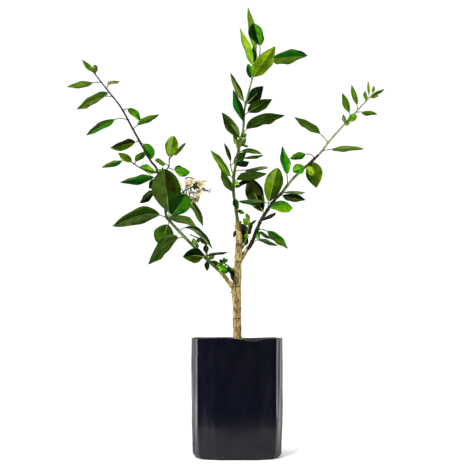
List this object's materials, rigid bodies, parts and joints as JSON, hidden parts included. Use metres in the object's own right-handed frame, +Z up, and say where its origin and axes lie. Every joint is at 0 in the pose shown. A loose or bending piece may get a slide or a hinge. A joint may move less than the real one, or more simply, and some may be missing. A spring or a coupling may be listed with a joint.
{
  "type": "potted fruit salad citrus tree",
  "caption": "Young multi-grafted citrus tree with a bare trunk, spreading limbs, glossy leaves and a blossom cluster, in a black planter bag of potting mix.",
  "frame": {"origin": "centre of the flat underside of the planter bag, on the floor", "axes": "+Z up along the trunk; +X towards the right limb and -Y towards the front, as in the picture"},
  "size_m": [0.6152, 0.2242, 0.8636],
  "materials": {
    "pot_film": "smooth satin film",
    "potting_mix": "matte, crumbly",
    "bark": "matte bark",
    "foliage": "waxy leaves"
  },
  "bodies": {
    "root": {"pot": "pot_film", "soil": "potting_mix", "trunk": "bark", "centre_bough": "bark", "left_bough": "bark", "right_bough": "bark", "left_sprout_mass": "foliage", "left_lower_mass": "foliage", "left_middle_mass": "foliage", "left_blossom_mass": "foliage", "left_upper_mass": "foliage", "left_tip_mass": "foliage", "centre_lower_mass": "foliage", "centre_middle_mass": "foliage", "centre_upper_mass": "foliage", "centre_top_mass": "foliage", "right_sprout_mass": "foliage", "right_lower_mass": "foliage", "right_middle_mass": "foliage", "right_upper_mass": "foliage", "right_tip_mass": "foliage"}
  },
  "joints": []
}
